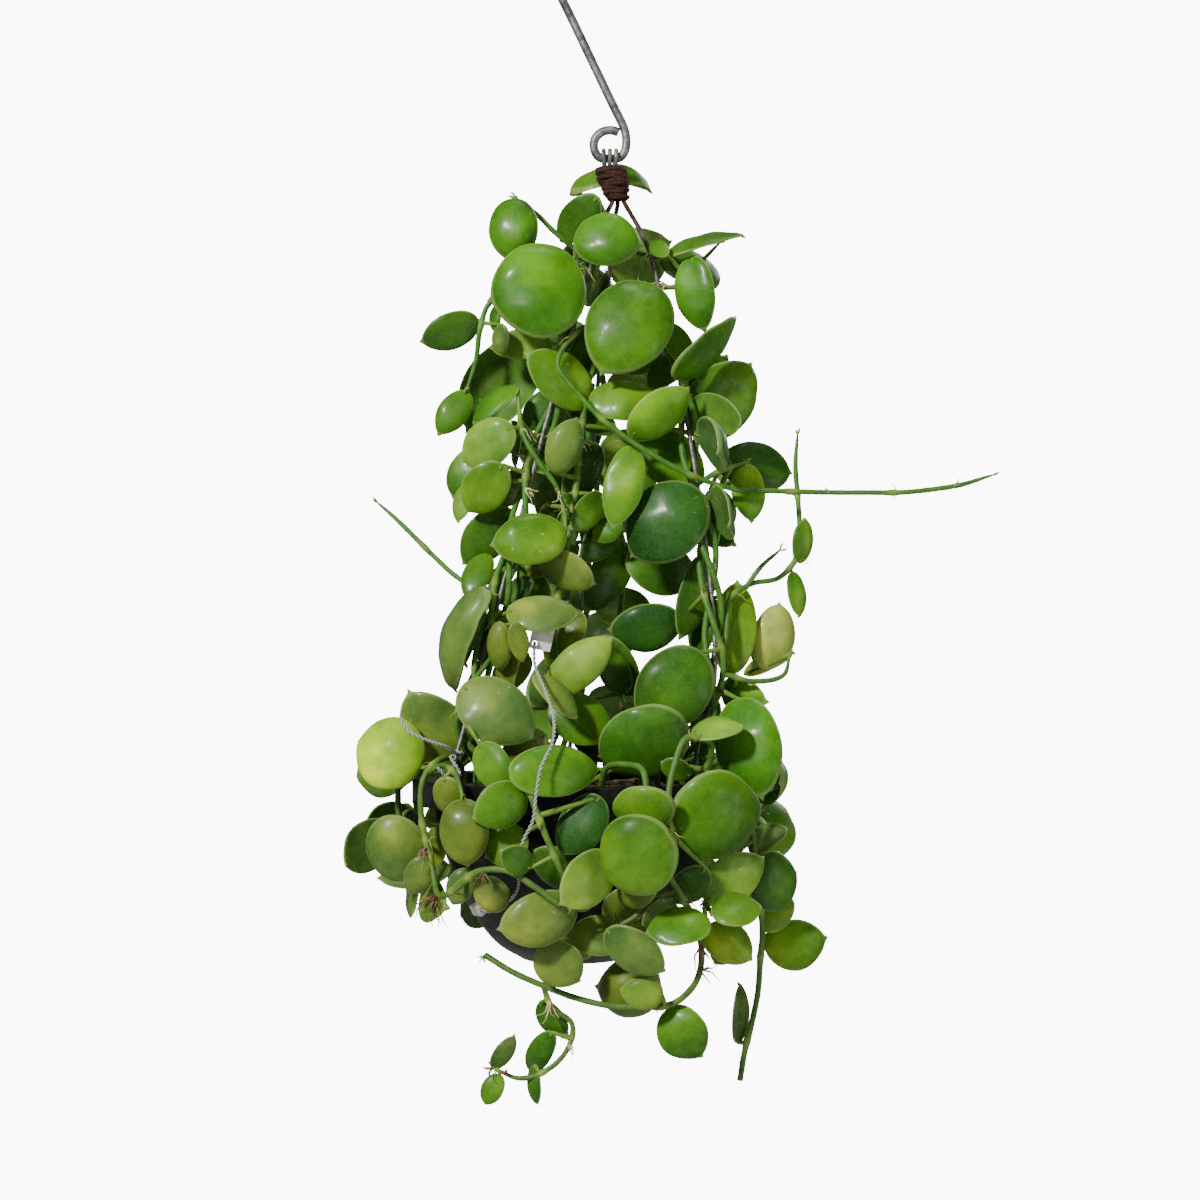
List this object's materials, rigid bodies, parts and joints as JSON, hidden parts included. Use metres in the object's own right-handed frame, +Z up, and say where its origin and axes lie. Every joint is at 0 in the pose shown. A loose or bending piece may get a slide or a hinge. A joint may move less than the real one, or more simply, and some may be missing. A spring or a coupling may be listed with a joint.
{
  "type": "hanging potted dischidia vidalii",
  "caption": "Hanging bowl of Dischidia vidalii: plump round green leaves on stems that climb the hanger wires to a steel hook, spill over the rim and trail below it.",
  "frame": {"origin": "where a rail bears inside the hook's crook, on the plant's hanging line", "axes": "+Z up, -Y towards the front that the picture shows, +X to the viewer's right"},
  "size_m": [0.2552, 0.1796, 0.4829],
  "materials": {
    "hook_steel": "dull galvanised steel wire",
    "hanger_steel": "weathered galvanised wire with rust at its top",
    "rusty_wire": "rough dark rust",
    "pot_plastic": "black satin nursery plastic",
    "potting_mix": "loose coconut husk and bark",
    "tag_paper": "blank white paper",
    "clip_plastic": "pale grey plastic",
    "string": "twisted white cotton string",
    "foliage": "smooth waxy living leaves and stems"
  },
  "bodies": {
    "hook": {"hook": "hook_steel"},
    "pot": {"hanger_wire_left": "hanger_steel", "hanger_wire_right": "hanger_steel", "hanger_wire_back": "hanger_steel", "binding": "rusty_wire", "pot": "pot_plastic", "potting_mix": "potting_mix", "tag": "tag_paper", "clip": "clip_plastic", "tag_string": "string", "tie_string": "string", "vine_left_high": "foliage", "vine_left_mid": "foliage", "vine_left_low": "foliage", "vine_right_high": "foliage", "vine_right_mid": "foliage", "vine_right_low": "foliage", "vine_middle": "foliage", "vine_middle_behind": "foliage", "vine_front_left": "foliage", "vine_front": "foliage", "vine_front_right": "foliage", "vine_bottom": "foliage", "vine_right_trail": "foliage", "vine_back_1": "foliage", "vine_back_2": "foliage", "vine_trail_1": "foliage", "vine_trail_2": "foliage", "vine_trail_3": "foliage", "vine_trail_4": "foliage", "vine_trail_5": "foliage", "vine_trail_6": "foliage", "vine_trail_7": "foliage", "vine_trail_8": "foliage", "vine_trail_9": "foliage"}
  },
  "joints": [
    {"name": "swing", "type": "hinge", "parent": "hook", "child": "pot", "pos_m": [0, 0, -0.1084], "axis": [1, 0, 0], "range_deg": [-25, 25]}
  ]
}
